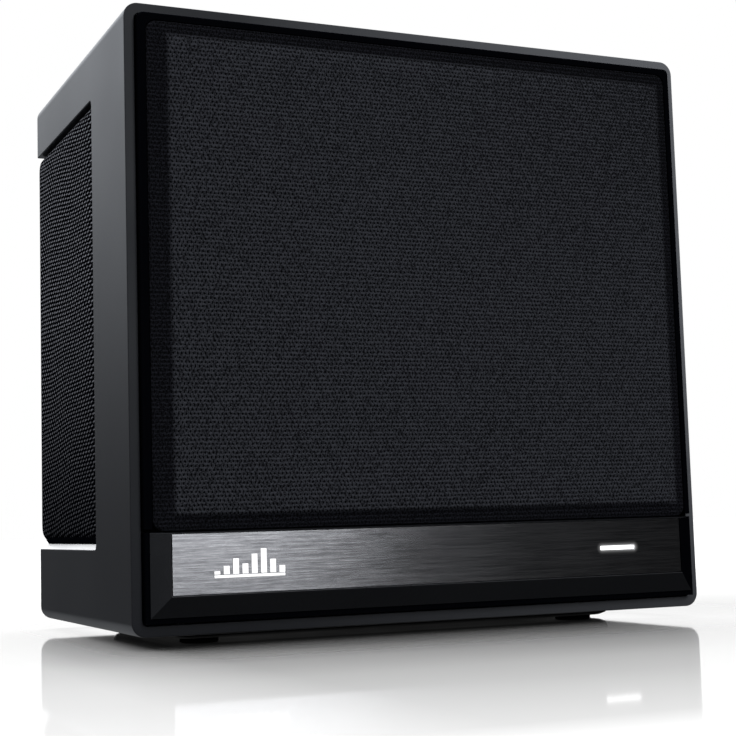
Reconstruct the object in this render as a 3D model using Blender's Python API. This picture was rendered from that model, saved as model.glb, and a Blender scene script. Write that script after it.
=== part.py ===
"""Compact subwoofer: an anodised sleeve around a sealed cabinet with one front woofer and two side radiators.

Every number is in millimetres; MM turns it into metres where a vertex is made.
X runs to the right seen from the front, the front faces -Y, Z is up, and Z = 0 is the floor.
"""

import math

import bmesh
import bpy
from mathutils import Matrix

MM = 0.001
GAP = 0.3

# Outer sleeve
WIDTH = 300.0
DEPTH = 200.0
SHELL_HEIGHT = 288.0
SHELL_BOTTOM = 5.5
SHELL_TOP = SHELL_BOTTOM + SHELL_HEIGHT
WALL = 5.0
OUTER_RADIUS = 6.8
INNER_RADIUS = 2.6
BACK = DEPTH / 2
RIM = BACK - 189.5
INSIDE_X = WIDTH / 2 - WALL
INSIDE_BOTTOM = SHELL_BOTTOM + WALL
INSIDE_TOP = SHELL_TOP - WALL

# Side windows
WINDOW_FRONT = RIM + 62.9
WINDOW_BOTTOM = SHELL_BOTTOM + 38.4
WINDOW_TOP = SHELL_BOTTOM + 258.6
WINDOW_RADIUS = 3.0
CLOTH = 0.8

# Front panel and its trim
SURROUND_HALF = 144.5
SURROUND_TOP = SHELL_TOP - 5.5
PANEL_HALF = 141.0
PANEL_BOTTOM = SHELL_BOTTOM + 46.4
PANEL_TOP = SHELL_TOP - 9.1
FIELD_HALF = 131.1
FIELD_BOTTOM = SHELL_BOTTOM + 53.4
FIELD_TOP = SHELL_TOP - 15.4
TRIM_HALF = 142.7
TRIM_BOTTOM = SHELL_BOTTOM + 8.3
TRIM_TOP = SHELL_BOTTOM + 45.9
FLANGE_BOTTOM = SHELL_BOTTOM + WALL + 0.9
PLATE_HALF = 133.9
PLATE_BOTTOM = SHELL_BOTTOM + 18.2
PLATE_TOP = SHELL_BOTTOM + 45.0
LIGHT_X = 96.5
LIGHT_Z = (PLATE_BOTTOM + PLATE_TOP) / 2
EMBLEM_X = -98.1

# Cabinet
CABINET_HALF = 128.0
CABINET_WALL = 9.0
BAFFLE_FRONT = -80.0
BAFFLE_BACK = -68.0
CABINET_BACK = 85.0
PANEL_BACK = 94.0

# Woofer
WOOFER_Z = 168.5
ROUND = 40

# Plinth
BASE_Y = 5.0

# Side radiators
RADIATOR_Y = 32.5
RADIATOR_Z = 154.0

# Amplifier tray
TRAY_FLOOR = 84.3
TRAY_HALF = 75.0
TRAY_BOTTOM = 62.0
TRAY_TOP = 252.0

SLEEVE = ("sleeve_graphite", (0.045, 0.047, 0.052), 0.55, 0.38)
CLOTH_BLACK = ("acoustic_cloth", (0.018, 0.018, 0.020), 0.0, 0.92)
PLASTIC = ("black_plastic", (0.016, 0.016, 0.018), 0.0, 0.45)
GLOSS = ("gloss_black", (0.010, 0.010, 0.012), 0.0, 0.18)
BRUSHED = ("brushed_aluminium", (0.30, 0.30, 0.31), 0.95, 0.32)
LAMP = ("white_lamp", (0.95, 0.96, 1.0), 0.0, 0.3)
WHITE_PAINT = ("white_print", (0.85, 0.85, 0.86), 0.0, 0.4)
FIBREBOARD = ("fibreboard", (0.28, 0.20, 0.12), 0.0, 0.8)
RUBBER = ("soft_rubber", (0.015, 0.015, 0.015), 0.0, 0.7)
PAPER = ("pressed_paper", (0.05, 0.05, 0.052), 0.0, 0.85)
FERRITE = ("ferrite", (0.06, 0.06, 0.065), 0.1, 0.6)
STEEL = ("zinc_steel", (0.55, 0.55, 0.54), 0.9, 0.35)
COPPER = ("copper", (0.72, 0.36, 0.18), 0.95, 0.35)
BASKET = ("painted_steel", (0.03, 0.03, 0.032), 0.5, 0.45)
BOARD = ("circuit_board", (0.02, 0.14, 0.07), 0.0, 0.5)
SPIDER = ("resin_cloth", (0.55, 0.38, 0.16), 0.0, 0.9)
ALUMINIUM = ("cast_aluminium", (0.60, 0.60, 0.61), 0.9, 0.4)
AMP_PLATE = ("amplifier_black", (0.02, 0.02, 0.022), 0.4, 0.5)


def clear_scene():
    for old in list(bpy.data.objects):
        bpy.data.objects.remove(old, do_unlink=True)


def new_collection(name, hidden):
    made = bpy.data.collections.new(name)
    bpy.context.scene.collection.children.link(made)
    made.hide_render = hidden
    return made


def material_of(look):
    name, colour, metallic, roughness = look
    made = bpy.data.materials.get(name)
    if made:
        return made
    made = bpy.data.materials.new(name)
    made.use_nodes = True
    shader = made.node_tree.nodes["Principled BSDF"]
    shader.inputs["Base Color"].default_value = (*colour, 1.0)
    shader.inputs["Metallic"].default_value = metallic
    shader.inputs["Roughness"].default_value = roughness
    if look is LAMP:
        shader.inputs["Emission Color"].default_value = (*colour, 1.0)
        shader.inputs["Emission Strength"].default_value = 4.0
    return made


def at(axis, level, a, b):
    """A point from its level along one axis and its place in the plane across it."""
    if axis == "X":
        return (level * MM, a * MM, b * MM)
    if axis == "Y":
        return (a * MM, level * MM, b * MM)
    return (a * MM, b * MM, level * MM)


def rect(axis, level, a, b, radius=0.0, steps=3):
    """A rectangle with rounded corners as a ring of points."""
    if radius <= 0:
        corners = ((a[0], b[0]), (a[1], b[0]), (a[1], b[1]), (a[0], b[1]))
        return [at(axis, level, x, y) for x, y in corners]
    centres = (
        (a[1] - radius, b[1] - radius, 0),
        (a[0] + radius, b[1] - radius, 90),
        (a[0] + radius, b[0] + radius, 180),
        (a[1] - radius, b[0] + radius, 270),
    )
    ring = []
    for x, y, start in centres:
        for step in range(steps + 1):
            angle = math.radians(start + 90 * step / steps)
            ring.append(at(axis, level, x + radius * math.cos(angle), y + radius * math.sin(angle)))
    return ring


def circle(axis, level, centre, radius, count):
    ring = []
    for step in range(count):
        angle = 2 * math.pi * step / count
        ring.append(at(axis, level, centre[0] + radius * math.cos(angle), centre[1] + radius * math.sin(angle)))
    return ring


def loft(rings, closed=False):
    """Skins rings of equal count; closed joins the last ring to the first, otherwise both ends are capped."""
    bm = bmesh.new()
    loops = [[bm.verts.new(point) for point in ring] for ring in rings]
    pairs = list(zip(loops, loops[1:]))
    if closed:
        pairs.append((loops[-1], loops[0]))
    count = len(loops[0])
    for near, far in pairs:
        for i in range(count):
            j = (i + 1) % count
            bm.faces.new((near[i], near[j], far[j], far[i]))
    if not closed:
        bm.faces.new(loops[0])
        bm.faces.new(loops[-1])
    bmesh.ops.recalc_face_normals(bm, faces=bm.faces)
    return bm


def box(low, high):
    return loft([rect("Z", z, (low[0], high[0]), (low[1], high[1])) for z in (low[2], high[2])])


def boxes(spans):
    """Several separate boxes in one mesh, for one cutter."""
    whole = bmesh.new()
    for low, high in spans:
        part = box(low, high)
        mesh = bpy.data.meshes.new("span")
        part.to_mesh(mesh)
        whole.from_mesh(mesh)
        bpy.data.meshes.remove(mesh)
        part.free()
    return whole


def cylinder(axis, centre, radius, low, high, count=16):
    return loft([circle(axis, low, centre, radius, count), circle(axis, high, centre, radius, count)])


def turned(axis, centre, profile, closed, count=ROUND):
    """A round piece from (radius, level) pairs."""
    return loft([circle(axis, level, centre, radius, count) for radius, level in profile], closed)


def put(name, bm, look):
    mesh = bpy.data.meshes.new(name)
    bm.to_mesh(mesh)
    bm.free()
    made = bpy.data.objects.new(name, mesh)
    made.data.materials.append(material_of(look))
    PARTS.objects.link(made)
    return made


def helper(owner, bm, number):
    mesh = bpy.data.meshes.new(owner.name + "_tool")
    bm.to_mesh(mesh)
    bm.free()
    made = bpy.data.objects.new(f"{owner.name}_tool_{number}", mesh)
    made.display_type = "WIRE"
    made.hide_render = True
    CUTTERS.objects.link(made)
    return made


def combine(owner, bm, operation):
    tool = helper(owner, bm, len(owner.modifiers))
    modifier = owner.modifiers.new(operation.lower(), "BOOLEAN")
    modifier.operation = operation
    modifier.solver = "EXACT"
    modifier.object = tool


def cut(owner, bm):
    combine(owner, bm, "DIFFERENCE")


def join(owner, bm):
    combine(owner, bm, "UNION")


def pivot(name, point, children):
    """An empty on a joint's axis that carries the pieces which move on it."""
    made = bpy.data.objects.new(name, None)
    made.location = [value * MM for value in point]
    PARTS.objects.link(made)
    bpy.context.view_layer.update()
    for child in children:
        child.parent = made
        child.matrix_parent_inverse = made.matrix_world.inverted()


def span(half, middle=0.0):
    return (middle - half, middle + half)


def grow(limits, amount):
    return (limits[0] - amount, limits[1] + amount)


def build_sleeve():
    outer_x = span(WIDTH / 2)
    outer_z = (SHELL_BOTTOM, SHELL_TOP)
    inner_x = span(INSIDE_X)
    inner_z = (INSIDE_BOTTOM, INSIDE_TOP)
    rings = [
        rect("Y", RIM, outer_x, outer_z, OUTER_RADIUS, 6),
        rect("Y", BACK, outer_x, outer_z, OUTER_RADIUS, 6),
        rect("Y", BACK, inner_x, inner_z, INNER_RADIUS, 6),
        rect("Y", RIM, inner_x, inner_z, INNER_RADIUS, 6),
    ]
    shell = put("outer_sleeve", loft(rings, True), SLEEVE)
    for side in (-1, 1):
        levels = sorted((side * (WIDTH / 2 + 3), side * (INSIDE_X - 3)))
        window = [
            rect("X", x, (WINDOW_FRONT, BACK + 20), (WINDOW_BOTTOM, WINDOW_TOP), WINDOW_RADIUS, 3)
            for x in levels
        ]
        cut(shell, loft(window))


def build_cabinet():
    inside = CABINET_WALL
    x = span(CABINET_HALF)
    z = (INSIDE_BOTTOM + GAP, INSIDE_TOP - GAP)
    rings = [
        rect("Y", BAFFLE_BACK + GAP, x, z),
        rect("Y", CABINET_BACK, x, z),
        rect("Y", CABINET_BACK, grow(x, -inside), grow(z, -inside)),
        rect("Y", BAFFLE_BACK + GAP, grow(x, -inside), grow(z, -inside)),
    ]
    cabinet = put("cabinet", loft(rings, True), FIBREBOARD)
    for side in (-1, 1):
        levels = sorted((side * (CABINET_HALF + 3), side * (CABINET_HALF - CABINET_WALL - 3)))
        hole = [rect("X", level, span(45, RADIATOR_Y), span(89, RADIATOR_Z), 36, 5) for level in levels]
        cut(cabinet, loft(hole))

    full_x = span(INSIDE_X - GAP)
    board = [rect("Y", y, full_x, z, INNER_RADIUS) for y in (BAFFLE_FRONT, BAFFLE_BACK)]
    baffle = put("front_baffle", loft(board), FIBREBOARD)
    cut(baffle, cylinder("Y", (0, WOOFER_Z), 92.5, BAFFLE_FRONT - 3, BAFFLE_BACK + 3, ROUND))
    for peg_x, peg_z in PEGS:
        cut(baffle, cylinder("Y", (peg_x, peg_z), 4.6, BAFFLE_FRONT - 3, BAFFLE_BACK + 3, 12))
    cut(baffle, cylinder("Y", (LIGHT_X - 10, LIGHT_Z), 3.5, BAFFLE_FRONT - 3, BAFFLE_BACK + 3, 12))

    board = [rect("Y", y, full_x, z, INNER_RADIUS) for y in (CABINET_BACK + GAP, PANEL_BACK)]
    rear = put("back_panel", loft(board), PLASTIC)
    notches = []
    for side in (-1, 1):
        near, far = sorted((side * (CABINET_HALF - 0.4), side * WIDTH / 2))
        notches.append(((near, 80, WINDOW_BOTTOM - 0.9), (far, 110, WINDOW_TOP + 0.9)))
    cut(rear, boxes(notches))
    tray = [rect("Y", y, span(TRAY_HALF + GAP), (TRAY_BOTTOM - GAP, TRAY_TOP + GAP), 5) for y in (80, 110)]
    cut(rear, loft(tray))


PEGS = ((-124.0, 70.0), (124.0, 70.0), (-124.0, 266.0), (124.0, 266.0))


def build_front_grille():
    def rings(shrink):
        field_x = grow(span(FIELD_HALF), -0.2 * shrink)
        field_z = grow((FIELD_BOTTOM, FIELD_TOP), -0.2 * shrink)
        edge_x = grow(span(PANEL_HALF), -shrink)
        edge_z = grow((PANEL_BOTTOM, PANEL_TOP), -shrink)
        return [
            rect("Y", -95.7 + shrink, field_x, field_z, 4.0, 3),
            rect("Y", -95.1 + shrink, grow(field_x, 1.2), grow(field_z, 1.0), 4.4, 3),
            rect("Y", -94.7 + shrink, grow(edge_x, -0.7), grow(edge_z, -0.7), 4.4, 3),
            rect("Y", -94.0 + shrink, edge_x, edge_z, 5.0, 3),
            rect("Y", -92.2, edge_x, edge_z, 5.0, 3),
        ]

    cloth = rings(0.0) + list(reversed(rings(CLOTH)))
    put("front_cloth", loft(cloth), CLOTH_BLACK)

    frame_rings = rings(CLOTH + GAP)
    inner_x = grow(span(PANEL_HALF), -CLOTH - GAP)
    inner_z = grow((PANEL_BOTTOM, PANEL_TOP), -CLOTH - GAP)
    frame_rings[-1] = rect("Y", -84.3, inner_x, inner_z, 5.0, 3)
    frame = put("front_grille_frame", loft(frame_rings), PLASTIC)
    pocket = [
        rect("Y", y, span(FIELD_HALF - 3), (FIELD_BOTTOM + 3, FIELD_TOP - 3), 3.0, 3) for y in (-92.4, -80.0)
    ]
    cut(frame, loft(pocket))
    windows = []
    columns, rows = 6, 5
    left, right = -FIELD_HALF + 6, FIELD_HALF - 6
    low, high = FIELD_BOTTOM + 6, FIELD_TOP - 6
    bar = 3.0
    wide = (right - left - bar * (columns - 1)) / columns
    tall = (high - low - bar * (rows - 1)) / rows
    for column in range(columns):
        for row in range(rows):
            x = left + column * (wide + bar)
            z = low + row * (tall + bar)
            windows.append(((x, -104, z), (x + wide, -90, z + tall)))
    cut(frame, boxes(windows))

    outer_z = (PANEL_BOTTOM - 24, SURROUND_TOP)
    groove_z = (PANEL_BOTTOM - 18, PANEL_TOP + GAP)
    surround = [
        rect("Y", -84.3, span(SURROUND_HALF), outer_z, 2.4, 3),
        rect("Y", -93.8, span(SURROUND_HALF), outer_z, 2.4, 3),
        rect("Y", -94.4, span(SURROUND_HALF - 0.6), grow(outer_z, -0.6), 2.4, 3),
        rect("Y", -94.4, span(PANEL_HALF + GAP), groove_z, 5.0, 3),
        rect("Y", -91.9, span(PANEL_HALF + GAP), groove_z, 5.0, 3),
        rect("Y", -91.9, span(PANEL_HALF - 4), grow(groove_z, -4), 5.0, 3),
        rect("Y", -84.3, span(PANEL_HALF - 4), grow(groove_z, -4), 5.0, 3),
    ]
    join(frame, loft(surround, True))
    cut(frame, box((-160, -110, PANEL_BOTTOM - 40), (160, -70, PANEL_BOTTOM + 1.0)))
    for peg_x, peg_z in PEGS:
        join(frame, cylinder("Y", (peg_x, peg_z), 4.2, -93.2, -72.5, 12))
    return frame, bpy.data.objects["front_cloth"]


def build_trim():
    outer_x = span(TRIM_HALF)
    outer_z = (TRIM_BOTTOM, TRIM_TOP)
    flange_x = span(SURROUND_HALF - 0.3)
    flange_z = (FLANGE_BOTTOM, TRIM_TOP + 0.2)
    seat_x = span(PLATE_HALF + GAP)
    seat_z = (PLATE_BOTTOM - GAP, PLATE_TOP + GAP)
    lip_x = span(PLATE_HALF + GAP + 0.2)
    lip_z = (PLATE_BOTTOM - GAP - 0.2, PLATE_TOP + GAP + 0.1)
    rings = [
        rect("Y", -97.4, seat_x, seat_z),
        rect("Y", -99.3, seat_x, seat_z),
        rect("Y", -99.5, lip_x, lip_z),
        rect("Y", -94.7, outer_x, outer_z),
        rect("Y", -94.0, outer_x, outer_z),
        rect("Y", -94.0, flange_x, flange_z),
        rect("Y", -84.3, flange_x, flange_z),
        rect("Y", -84.3, grow(flange_x, -2.2), grow(flange_z, -2.2)),
        rect("Y", -91.8, grow(flange_x, -2.2), grow(flange_z, -2.2)),
        rect("Y", -95.2, grow(seat_x, -1.0), grow(seat_z, -1.0)),
    ]
    moulding = put("trim_moulding", loft(rings), GLOSS)
    slot = [rect("Y", y, span(10.6, LIGHT_X), span(1.8, LIGHT_Z), 1.2, 3) for y in (-100, -90)]
    cut(moulding, loft(slot))
    for x in (LIGHT_X - 16, LIGHT_X + 16):
        join(moulding, cylinder("Y", (x, LIGHT_Z), 2.4, -96.0, -91.9, 12))

    face = [
        rect("Y", -97.7, span(PLATE_HALF), (PLATE_BOTTOM, PLATE_TOP)),
        rect("Y", -99.0, span(PLATE_HALF), (PLATE_BOTTOM, PLATE_TOP)),
        rect("Y", -99.2, span(PLATE_HALF - 0.25), (PLATE_BOTTOM + 0.25, PLATE_TOP - 0.25)),
    ]
    plate = put("trim_plate", loft(face), BRUSHED)
    slot = [rect("Y", y, span(10.2, LIGHT_X), span(1.5, LIGHT_Z), 1.2, 3) for y in (-104, -90)]
    cut(plate, loft(slot))

    lens = [
        rect("Y", -99.2, span(9.5, LIGHT_X), span(0.9, LIGHT_Z), 0.8, 3),
        rect("Y", -98.9, span(9.8, LIGHT_X), span(1.2, LIGHT_Z), 1.0, 3),
        rect("Y", -94.9, span(9.8, LIGHT_X), span(1.2, LIGHT_Z), 1.0, 3),
        rect("Y", -94.9, span(12.4, LIGHT_X), span(3.4, LIGHT_Z), 1.0, 3),
        rect("Y", -93.3, span(12.4, LIGHT_X), span(3.4, LIGHT_Z), 1.0, 3),
    ]
    put("status_light_lens", loft(lens), LAMP)

    board = put("status_light_board", box((LIGHT_X - 21, -91.6, LIGHT_Z - 6), (LIGHT_X + 21, -90.0, LIGHT_Z + 6)), BOARD)
    for x in (LIGHT_X - 6, LIGHT_X, LIGHT_X + 6):
        join(board, box((x - 1.6, -92.6, LIGHT_Z - 1.4), (x + 1.6, -91.4, LIGHT_Z + 1.4)))
    join(board, box((LIGHT_X - 14, -90.2, LIGHT_Z - 3), (LIGHT_X - 6, -86.0, LIGHT_Z + 3)))

    bars = put("emblem", box((EMBLEM_X - 16.7, -100.0, LIGHT_Z - 6.5), (EMBLEM_X + 16.7, -99.35, LIGHT_Z - 5.3)), WHITE_PAINT)
    for step in range(8):
        left = EMBLEM_X - 16.7 + step * 4.4
        tall = (3.0, 5.2, 8.4, 6.0, 10.2, 12.4, 7.6, 4.6)[step]
        join(bars, box((left, -100.0, LIGHT_Z - 6.0), (left + 2.6, -99.35, LIGHT_Z - 6.5 + tall)))


def side_rings(side, shrink, inner_level):
    """Rings of a crowned side panel, from its crown to its skirt, shrunk for the layer below."""
    front = WINDOW_FRONT + 0.6
    low = WINDOW_BOTTOM + 0.6
    high = WINDOW_TOP - 0.6
    table = (
        (149.6, 9.0, 3.5, 9.0, 6.0),
        (149.3, 5.0, 1.8, 5.0, 5.0),
        (148.5, 2.2, 0.8, 2.2, 4.0),
        (147.0, 0.6, 0.5, 0.6, 3.0),
        (144.9, 0.0, 0.4, 0.0, 2.4),
    )
    rings = []
    for level, at_front, at_back, at_end, radius in table:
        y = (front + at_front + shrink, BACK - at_back - shrink)
        z = (low + at_end + shrink, high - at_end - shrink)
        rings.append(rect("X", side * (level - shrink), y, z, radius, 3))
    y = (front + shrink, BACK - 0.4 - shrink)
    z = (low + shrink, high - shrink)
    rings.append(rect("X", side * inner_level, y, z, 2.4, 3))
    return rings


def build_side(side, word):
    cloth = side_rings(side, 0.0, 139.0) + list(reversed(side_rings(side, CLOTH, 139.0)))
    put(f"side_cloth_{word}", loft(cloth), CLOTH_BLACK)

    base = CABINET_HALF + GAP
    skin = CLOTH + GAP
    grille_rings = side_rings(side, skin, base) + list(reversed(side_rings(side, skin + 2.0, base)))
    grille = put(f"side_grille_{word}", loft(grille_rings), PLASTIC)
    slots = []
    columns, rows = 5, 7
    left, right = WINDOW_FRONT + 16, BACK - 16
    low, high = WINDOW_BOTTOM + 18, WINDOW_TOP - 18
    bar = 3.0
    wide = (right - left - bar * (columns - 1)) / columns
    tall = (high - low - bar * (rows - 1)) / rows
    near, far = sorted((side * 142.0, side * 152.0))
    for column in range(columns):
        for row in range(rows):
            y = left + column * (wide + bar)
            z = low + row * (tall + bar)
            slots.append(((near, y, z), (far, y + wide, z + tall)))
    cut(grille, boxes(slots))

    def race(level, half_y, half_z, radius):
        return rect("X", side * level, span(half_y, RADIATOR_Y), span(half_z, RADIATOR_Z), radius, 5)

    frame = [
        race(131.3, 54, 98, 45), race(128.3, 54, 98, 45), race(128.3, 44.6, 88.6, 35.6),
        race(122.0, 44.6, 88.6, 35.6), race(122.0, 43.0, 87.0, 34.0), race(131.3, 43.0, 87.0, 34.0),
    ]
    put(f"radiator_frame_{word}", loft(frame, True), BASKET)
    roll = [race(131.6, 49, 93, 40), race(132.5, 49, 93, 40)]
    inner_roll = [race(131.6, 46, 90, 37)]
    for step in range(7):
        angle = math.pi * step / 6
        middle, half = 38.5, 6.5
        offset = middle + half * math.cos(angle)
        roll.append(race(132.5 + 6.0 * math.sin(angle), offset, offset + 44, offset - 9))
    roll.append(race(132.5, 27, 71, 18))
    roll.append(race(131.6, 27, 71, 18))
    for step in range(6, -1, -1):
        angle = math.pi * step / 6
        offset = 38.5 + 5.6 * math.cos(angle)
        inner_roll.append(race(131.6 + 6.0 * math.sin(angle), offset, offset + 44, offset - 9))
    put(f"radiator_surround_{word}", loft(roll + inner_roll[:0:-1][::-1], True), RUBBER)
    plate = [
        race(133.6, 22, 66, 14), race(133.2, 29, 73, 20), race(132.8, 29.5, 73.5, 20.5),
    ]
    disc = put(f"radiator_plate_{word}", loft(plate), PAPER)
    near, far = sorted((side * 124.0, side * 133.0))
    join(disc, cylinder("X", (RADIATOR_Y, RADIATOR_Z), 16.0, near, far, 24))
    return disc


def build_woofer():
    centre = (0, WOOFER_Z)
    bowl = [
        (105, -80.3), (105, -83.5), (84, -83.5), (80.5, -76), (51, -46.5), (51, -44.5), (45, -44.5), (43.5, -34),
        (43.5, -31), (29.5, -31), (29.5, -28.3), (46, -28.3), (46, -42), (53, -42), (54.5, -46), (84, -76), (91, -80.3),
    ]
    basket = put("woofer_basket", turned("Y", centre, bowl, True), BASKET)
    for step in range(6):
        angle = math.radians(60 * step)
        bm = box((60, -73, -17), (92, -52, 17))
        turn = bmesh_rotation(angle)
        bmesh.ops.transform(bm, matrix=turn, verts=bm.verts)
        cut(basket, bm)

    roll = [(103.5, -83.8), (103.5, -84.8), (92.8, -84.8)]
    for step in range(1, 8):
        angle = math.pi * step / 8
        roll.append((85 + 7.8 * math.cos(angle), -84.8 - 4.6 * math.sin(angle)))
    roll += [(77.2, -84.8), (72, -83.9), (72, -83.0), (77.6, -83.8)]
    for step in range(7, 0, -1):
        angle = math.pi * step / 8
        roll.append((85 + 6.9 * math.cos(angle), -83.8 - 4.6 * math.sin(angle)))
    roll.append((92.2, -83.8))
    put("woofer_surround", turned("Y", centre, roll, True), RUBBER)
    put("woofer_gasket", turned("Y", centre, [(104.5, -85.1), (104.5, -87.6), (96, -87.6), (95, -86.8), (95, -85.1)], True), RUBBER)

    cone = [(76.6, -82.4), (76.6, -83.2), (71.0, -82.6), (50, -68.0), (25.8, -53.2), (25.8, -52.0), (50, -66.8), (71.0, -81.4)]
    cone = put("woofer_cone", turned("Y", centre, cone, True), PAPER)
    dome = [(33.0, -57.9)]
    for radius, level in ((32.6, -59.4), (28.5, -63.6), (21, -67.4), (12, -69.8), (4, -70.6)):
        dome.append((radius, level))
    for radius, level in ((4, -69.8), (12, -69.0), (21, -66.6), (28.2, -62.8), (31.7, -58.9), (31.9, -57.2)):
        dome.append((radius, level))
    cap = put("woofer_dust_cap", turned("Y", centre, dome, False), PAPER)
    coil = [(25.3, -56.0), (25.3, -33.0), (26.3, -33.0), (26.3, -17.0), (24.5, -17.0), (24.5, -56.0)]
    coil = put("woofer_voice_coil", turned("Y", centre, coil, True), COPPER)
    rolls = 9
    front, rear = [], []
    for step in range(rolls + 1):
        radius = 25.7 + (50.0 - 25.7) * step / rolls
        wave = 1.1 * math.sin(math.pi * step) if step in (0, rolls) else 1.1 * (-1) ** step
        front.append((radius, -46.3 + wave - 0.35))
        rear.append((radius, -46.3 + wave + 0.35))
    put("woofer_spider", turned("Y", centre, front + rear[::-1], True), SPIDER)
    put("woofer_top_plate", turned("Y", centre, [(50, -28), (50, -22), (26.9, -22), (26.9, -28)], True), STEEL)
    put("woofer_magnet", turned("Y", centre, [(55, -21.7), (55, -3.7), (31, -3.7), (31, -21.7)], True), FERRITE)
    yoke = [(7, -27), (23.9, -27), (23.9, -3.4), (52, -3.4), (52, 3.2), (7, 3.2)]
    put("woofer_yoke", turned("Y", centre, yoke, True), STEEL)

    strip = put("woofer_terminal_strip", box((46.6, -41, WOOFER_Z - 9), (48.6, -31.5, WOOFER_Z + 9)), PLASTIC)
    for z in (WOOFER_Z - 5, WOOFER_Z + 5):
        join(strip, box((48.4, -39, z - 1.4), (53.4, -38, z + 1.4)))
    return [cone, cap, coil]


def bmesh_rotation(angle):
    """A turn about the woofer's axis, then the shift that puts a tool made at the origin on it."""
    return Matrix.Translation((0, 0, WOOFER_Z * MM)) @ Matrix.Rotation(angle, 4, "Y")


def build_amplifier():
    flange_x, flange_z = span(TRAY_HALF + 10), (TRAY_BOTTOM - 10, TRAY_TOP + 10)
    inner_x, inner_z = span(TRAY_HALF - 2), (TRAY_BOTTOM + 2, TRAY_TOP - 2)
    outer_x, outer_z = span(TRAY_HALF), (TRAY_BOTTOM, TRAY_TOP)
    rings = [
        rect("Y", TRAY_FLOOR, inner_x, inner_z, 5), rect("Y", 96.3, inner_x, inner_z, 5),
        rect("Y", 96.3, flange_x, flange_z, 5), rect("Y", 94.3, flange_x, flange_z, 5),
        rect("Y", 94.3, outer_x, outer_z, 5), rect("Y", TRAY_FLOOR - 2, outer_x, outer_z, 5),
    ]
    tray = put("amplifier_plate", loft(rings), AMP_PLATE)
    floor = (TRAY_FLOOR - 5, TRAY_FLOOR + 5)
    holes = [
        [rect("Y", y, span(12.0, -45), span(8.0, 84), 2.0) for y in floor],
        [rect("Y", y, span(10.6, -45), span(6.6, 116), 1.0) for y in floor],
        [circle("Y", y, (42, 205), 3.8, 16) for y in floor],
        [rect("Y", y, span(6.0, 42), span(2.2, 172), 0.8) for y in floor],
        [circle("Y", y, (42, 144), 3.6, 16) for y in floor],
        [circle("Y", y, (30, 88), 4.6, 16) for y in floor],
        [circle("Y", y, (52, 88), 4.6, 16) for y in floor],
    ]
    for hole in holes:
        cut(tray, loft(hole))
    for x in (-56, 56):
        for z in (100, 224):
            join(tray, cylinder("Y", (x, z), 3.0, 62.0, TRAY_FLOOR - 1, 12))

    sink = put("heat_sink", box((-66, 78.0, 134), (2, 82.0, 206)), ALUMINIUM)
    for step in range(9):
        x = -65 + step * 8.0
        join(sink, box((x, 66.0, 134), (x + 2.0, 78.5, 206)))

    board = put("amplifier_board", box((-62, 60.0, 76), (62, 61.6, 238)), BOARD)
    chips = (((-20, 46, 96), (6, 60.2, 110)), ((16, 52, 108), (32, 60.2, 124)), ((-52, 56, 196), (-24, 60.2, 216)),
             ((24, 54, 190), (44, 60.2, 204)), ((-54, 50, 84), (-34, 60.2, 92)))
    for low, high in chips:
        join(board, box(low, high))

    core = put("mains_transformer", box((-56, 26, 128), (-14, 59.6, 168)), FERRITE)
    join(core, loft([rect("Z", z, span(15, -35), span(11, 36), 5) for z in (120, 176)]))
    for number, z in ((1, 140), (2, 170)):
        can = [(12.4, 59.6), (12.4, 26.0), (11.2, 24.6), (4.0, 24.6)]
        put(f"reservoir_capacitor_{number}", turned("Y", (34, z), [(4.0, 59.6)] + can, False, 24), GLOSS)
    wireless = put("wireless_board", box((2, 57.4, 218), (42, 58.6, 234)), BOARD)
    join(wireless, box((8, 53.6, 221), (24, 57.6, 231)))
    join(wireless, box((34, 58.4, 222), (38, 59.7, 230)))


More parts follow.
